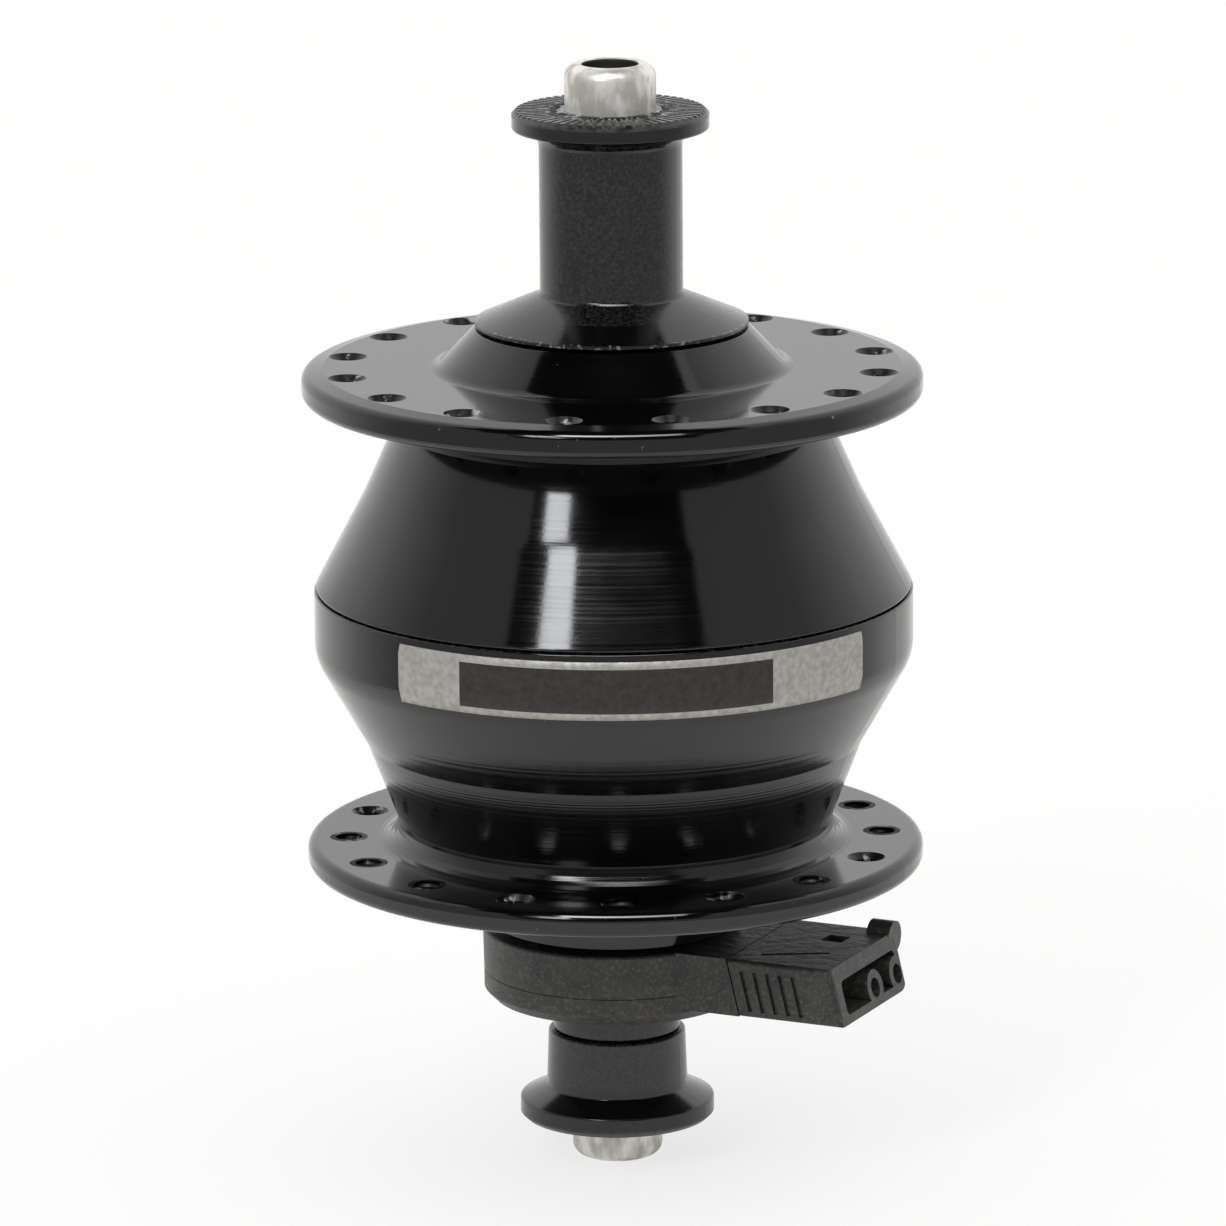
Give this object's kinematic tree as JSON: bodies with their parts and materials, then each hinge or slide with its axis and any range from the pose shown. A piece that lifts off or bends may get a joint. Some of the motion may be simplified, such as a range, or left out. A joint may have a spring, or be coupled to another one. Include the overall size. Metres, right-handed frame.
{
  "type": "hub dynamo",
  "caption": "Bicycle front hub dynamo: spoke-flanged hub shell on a hollow fixed axle, with a claw-pole generator inside and a two-wire push-on connector.",
  "frame": {"origin": "on the axle's centre line, midway between the two dropout faces", "axes": "+Z along the axle towards the plain end, +X along the connector arm away from the axle"},
  "size_m": [0.06, 0.06, 0.1086],
  "materials": {
    "black_alloy": "gloss black anodised, turned",
    "cap_alloy": "gloss black anodised, turned",
    "bare_metal": "bare turned steel, smeared",
    "bearing_steel": "ground",
    "cage_plastic": "moulded",
    "seal_rubber": "moulded",
    "core_iron": "pressed and zinc plated",
    "magnet": "sintered",
    "bobbin_plastic": "moulded",
    "copper": "enamelled wire",
    "wire_insulation": "extruded",
    "connector_plastic": "moulded, slightly dusty",
    "contact_brass": "plated"
  },
  "bodies": {
    "axle": {"axle": "bare_metal", "upper_end_cap": "cap_alloy", "lower_end_cap": "cap_alloy", "connector_lock_nut": "cap_alloy", "lower_spacer": "bare_metal", "upper_inner_race": "bearing_steel", "lower_inner_race": "bearing_steel", "stator_core": "core_iron", "upper_claw_plate": "core_iron", "lower_claw_plate": "core_iron", "coil_bobbin": "bobbin_plastic", "coil_winding": "copper", "stator_nut": "bare_metal", "lead_wires": "wire_insulation", "connector_housing": "connector_plastic", "connector_base": "connector_plastic", "terminal_pins": "contact_brass"},
    "shell": {"shell_upper": "black_alloy", "shell_lower": "black_alloy", "rotor_ring": "core_iron", "magnets": "magnet", "upper_outer_race": "bearing_steel", "lower_outer_race": "bearing_steel", "upper_seal": "seal_rubber", "lower_seal": "seal_rubber", "upper_dust_seal": "seal_rubber", "lower_dust_seal": "seal_rubber"},
    "upper_ball_cage": {"upper_balls": "bearing_steel", "upper_cage": "cage_plastic"},
    "lower_ball_cage": {"lower_balls": "bearing_steel", "lower_cage": "cage_plastic"},
    "plug": {"connector_plug": "connector_plastic", "contact_sleeves": "contact_brass"}
  },
  "joints": [
    {"name": "hub_spin", "type": "hinge", "parent": "axle", "child": "shell", "pos_m": [0, 0, 0], "axis": [0, 0, 1], "continuous": true},
    {"name": "upper_cage_spin", "type": "hinge", "parent": "axle", "child": "upper_ball_cage", "pos_m": [0, 0, 0.0255], "axis": [0, 0, 1], "continuous": true},
    {"name": "lower_cage_spin", "type": "hinge", "parent": "axle", "child": "lower_ball_cage", "pos_m": [0, 0, -0.0255], "axis": [0, 0, 1], "continuous": true},
    {"name": "plug_pull", "type": "slide", "parent": "axle", "child": "plug", "axis": [1, 0, 0], "range_m": [0, 0.012]}
  ],
  "couplings": [
    {"joint": "upper_cage_spin", "follows": "hub_spin", "ratio": 0.5727},
    {"joint": "lower_cage_spin", "follows": "hub_spin", "ratio": 0.5727}
  ]
}
